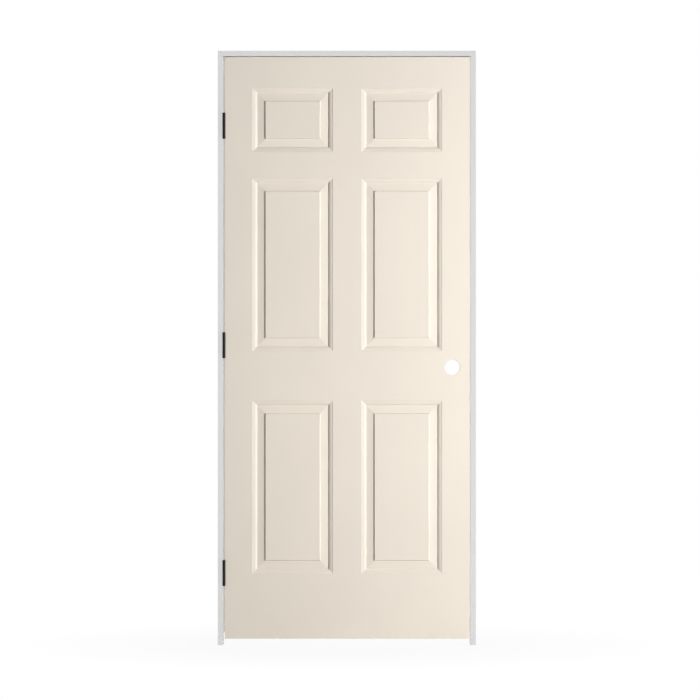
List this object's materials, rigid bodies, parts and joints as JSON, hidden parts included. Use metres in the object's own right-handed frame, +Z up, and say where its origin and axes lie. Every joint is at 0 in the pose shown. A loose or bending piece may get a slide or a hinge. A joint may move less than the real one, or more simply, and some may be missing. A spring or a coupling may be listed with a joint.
{
  "type": "prehung interior door",
  "caption": "Panelled hollow-core interior door slab hung on loose-pin butt hinges in a primed jamb frame with planted stops; bored for a lockset, it swings open on its pins.",
  "frame": {"origin": "on the floor, at the middle of the bounding box's bottom face", "axes": "+Z up, +X from the hinge side to the strike side, -Y out of the face that the door opens towards"},
  "size_m": [0.9018, 0.137, 2.0765],
  "materials": {
    "primed_pine": "flat primer",
    "primed_skin": "flat primer",
    "raw_pine": "bare",
    "kraft_paper": "matt",
    "black_steel": "matt",
    "galvanised_wire": "dull"
  },
  "bodies": {
    "frame": {"hinge_jamb": "primed_pine", "strike_jamb": "primed_pine", "head_jamb": "primed_pine", "hinge_side_stop": "primed_pine", "strike_side_stop": "primed_pine", "head_stop": "primed_pine", "top_hinge_jamb_leaf": "black_steel", "top_hinge_pin": "black_steel", "middle_hinge_jamb_leaf": "black_steel", "middle_hinge_pin": "black_steel", "bottom_hinge_jamb_leaf": "black_steel", "bottom_hinge_pin": "black_steel", "head_staples": "galvanised_wire"},
    "door": {"front_skin": "primed_skin", "back_skin": "primed_skin", "hinge_stile": "raw_pine", "lock_stile": "raw_pine", "top_rail": "raw_pine", "bottom_rail": "raw_pine", "lock_block": "raw_pine", "honeycomb_core": "kraft_paper", "top_hinge_door_leaf": "black_steel", "middle_hinge_door_leaf": "black_steel", "bottom_hinge_door_leaf": "black_steel"}
  },
  "joints": [
    {"name": "door_swing", "type": "hinge", "parent": "frame", "child": "door", "pos_m": [-0.429, -0.0633, 1.047], "axis": [0, 0, -1], "range_deg": [0, 180]}
  ]
}
